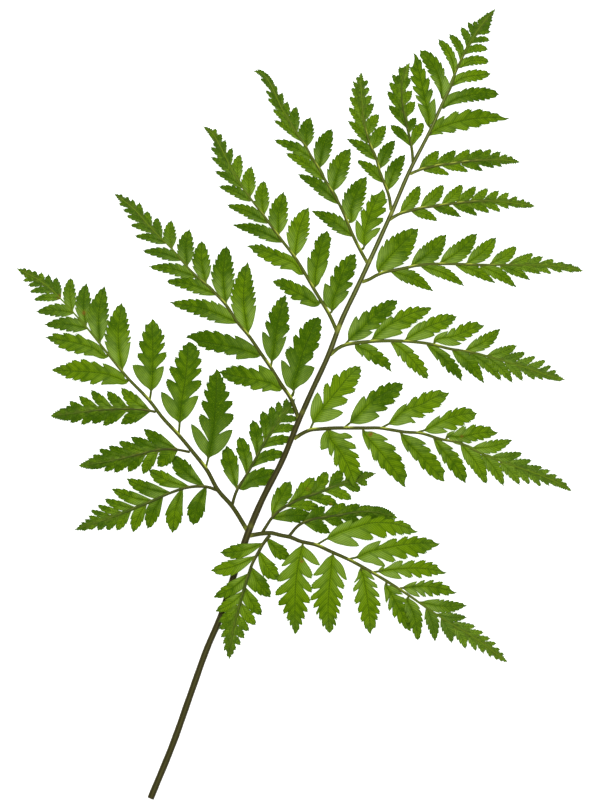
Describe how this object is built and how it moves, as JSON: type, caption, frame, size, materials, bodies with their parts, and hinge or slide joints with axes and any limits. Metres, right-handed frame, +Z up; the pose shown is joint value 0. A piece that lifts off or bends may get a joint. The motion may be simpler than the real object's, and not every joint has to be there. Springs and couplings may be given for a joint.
{
  "type": "leatherleaf fern frond",
  "caption": "Single cut leatherleaf fern frond lying flat: a long stipe and rachis with arching pinnae of toothed, lobed green leaflets that narrow to a pointed tip.",
  "frame": {"origin": "on the flat underside of the rachis, under the frond's weight and on the surface that it lies on", "axes": "+Y from the cut end of the stipe to the frond's tip, +Z up out of the leaf's upper face, +X to the right as seen from above"},
  "size_m": [0.3534, 0.5001, 0.0065],
  "materials": {
    "leaf_green": "satin, leathery leaf surface"
  },
  "bodies": {
    "root": {"frond": "leaf_green"}
  },
  "joints": []
}
